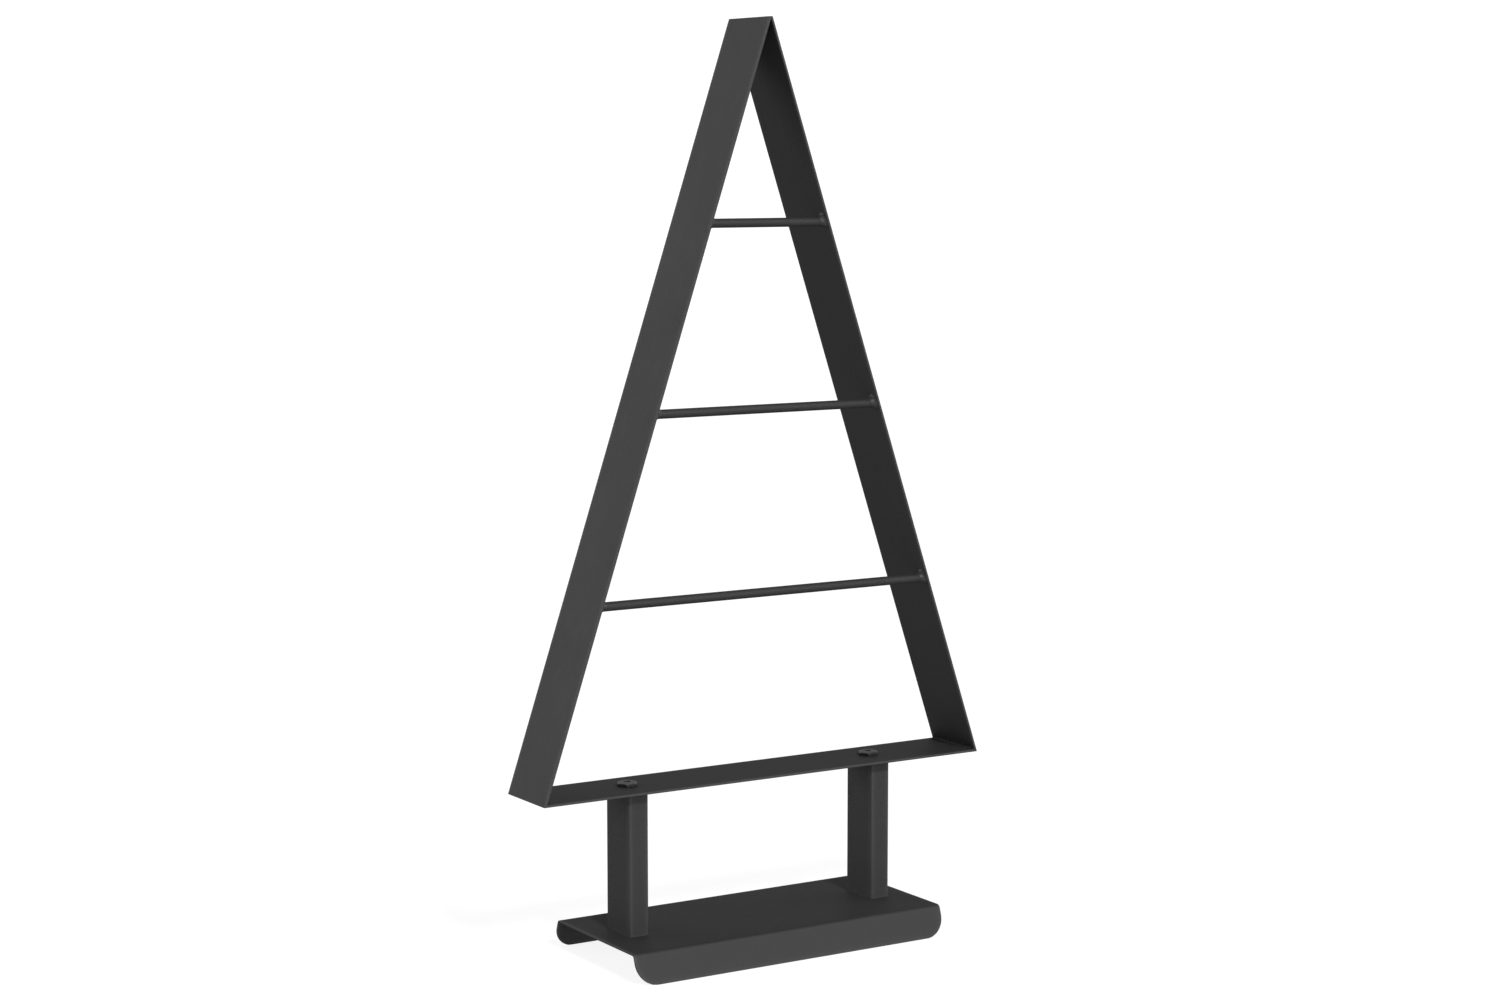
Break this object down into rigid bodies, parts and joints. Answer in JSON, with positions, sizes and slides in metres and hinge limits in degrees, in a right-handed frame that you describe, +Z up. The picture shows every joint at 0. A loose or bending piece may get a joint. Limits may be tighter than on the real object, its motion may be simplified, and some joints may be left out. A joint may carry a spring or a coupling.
{
  "type": "tabletop decorative tree stand",
  "caption": "Flat-steel tree outline with round crossbars for hanging ornaments, held on two rectangular posts above a bent-sheet base.",
  "frame": {"origin": "centre of the base on the surface that it stands on", "axes": "+Z up, -Y towards the front, where the crossbars sit, +X to the right seen from the front"},
  "size_m": [0.337, 0.1154, 0.6115],
  "materials": {
    "black_coat": "matt, finely textured powder coat",
    "weld_bead": "rippled weld under the same matt powder coat",
    "end_plate": "plain mill steel, hidden inside the posts",
    "fasteners": "satin black plated steel"
  },
  "bodies": {
    "root": {"base_sheet": "black_coat", "post_left": "black_coat", "post_right": "black_coat", "top_plate_left": "end_plate", "top_plate_right": "end_plate", "foot_plate_left": "end_plate", "foot_plate_right": "end_plate", "side_strip_left": "black_coat", "side_strip_right": "black_coat", "foot_strip": "black_coat", "crossbar_lower": "black_coat", "crossbar_middle": "black_coat", "crossbar_upper": "black_coat", "crossbar_welds": "weld_bead", "corner_welds": "weld_bead", "frame_bolt_left": "fasteners", "frame_bolt_right": "fasteners", "base_bolt_left": "fasteners", "base_bolt_right": "fasteners", "base_washer_left": "fasteners", "base_washer_right": "fasteners"}
  },
  "joints": []
}
